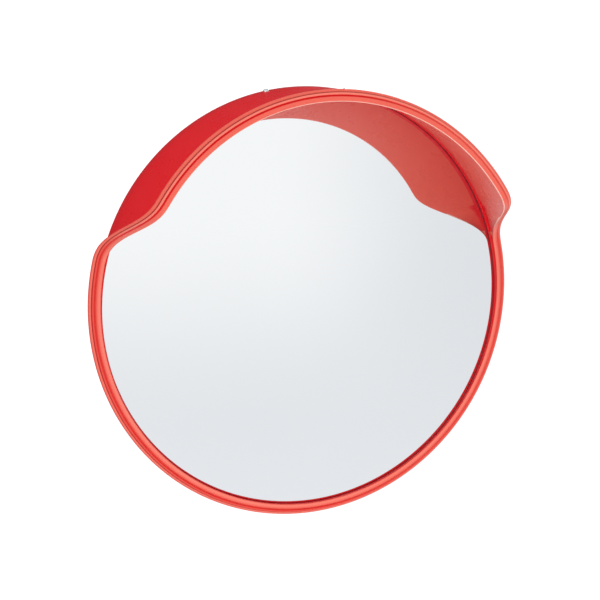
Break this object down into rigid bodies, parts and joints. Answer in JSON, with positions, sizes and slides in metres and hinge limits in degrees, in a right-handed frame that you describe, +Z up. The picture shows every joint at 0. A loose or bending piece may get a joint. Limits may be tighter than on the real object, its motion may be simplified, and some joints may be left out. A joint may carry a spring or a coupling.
{
  "type": "convex security mirror",
  "caption": "Round convex security mirror in a red moulded frame with a hood over its top, on a steel wall bracket that pans and tilts.",
  "frame": {"origin": "centre of the wall plate's rear face", "axes": "+Z up, +Y from the mirror towards the wall; the mirror looks along -Y with pan and tilt at rest"},
  "size_m": [0.6, 0.4145, 0.5854],
  "materials": {
    "red_plastic": "semi-gloss moulded",
    "mirror": "polished, metallised on the back",
    "rubber": "matte",
    "seal": "dark red, matte",
    "galvanised": "hot-dip galvanised",
    "zinc": "bright zinc plated",
    "cast": "black powder coat",
    "nylon": "natural"
  },
  "bodies": {
    "wall_bracket": {"wall_plate": "galvanised", "support_arm": "galvanised", "gusset_top": "galvanised", "gusset_bottom": "galvanised", "pan_fork": "galvanised", "pan_bolt": "zinc", "pan_washer": "zinc"},
    "swivel": {"swivel_knuckle": "cast", "pan_bush_top": "nylon", "pan_bush_bottom": "nylon", "tilt_friction_disc_left": "nylon", "tilt_friction_disc_right": "nylon"},
    "mirror_head": {"hood_frame": "red_plastic", "mirror_dome": "mirror", "mirror_gasket": "seal", "rear_shell": "red_plastic", "frame_screw_1": "zinc", "frame_screw_2": "zinc", "frame_screw_3": "zinc", "frame_screw_4": "zinc", "frame_screw_5": "zinc", "frame_screw_6": "zinc", "backing_plate": "zinc", "bracket_pad": "rubber", "bracket_bolt_1": "zinc", "bracket_washer_1": "zinc", "bracket_nut_1": "zinc", "bracket_bolt_2": "zinc", "bracket_washer_2": "zinc", "bracket_nut_2": "zinc", "bracket_bolt_3": "zinc", "bracket_washer_3": "zinc", "bracket_nut_3": "zinc", "bracket_bolt_4": "zinc", "bracket_washer_4": "zinc", "bracket_nut_4": "zinc", "tilt_bracket": "galvanised", "tilt_bolt": "zinc", "tilt_washer": "zinc"},
    "tilt_wing_nut": {"tilt_wing_nut": "zinc"},
    "pan_wing_nut": {"pan_wing_nut": "zinc"}
  },
  "joints": [
    {"name": "pan", "type": "hinge", "parent": "wall_bracket", "child": "swivel", "pos_m": [0, -0.1604, 0], "axis": [0, 0, 1], "range_deg": [-40, 40]},
    {"name": "tilt", "type": "hinge", "parent": "swivel", "child": "mirror_head", "pos_m": [0, -0.1964, 0], "axis": [1, 0, 0], "range_deg": [-20, 35]},
    {"name": "tilt_wing_nut_turn", "type": "hinge", "parent": "mirror_head", "child": "tilt_wing_nut", "pos_m": [0.0269, -0.1964, 0], "axis": [1, 0, 0], "range_deg": [0, 360]},
    {"name": "pan_wing_nut_turn", "type": "hinge", "parent": "wall_bracket", "child": "pan_wing_nut", "pos_m": [0, -0.1604, -0.0306], "axis": [0, 0, -1], "range_deg": [0, 360]}
  ]
}
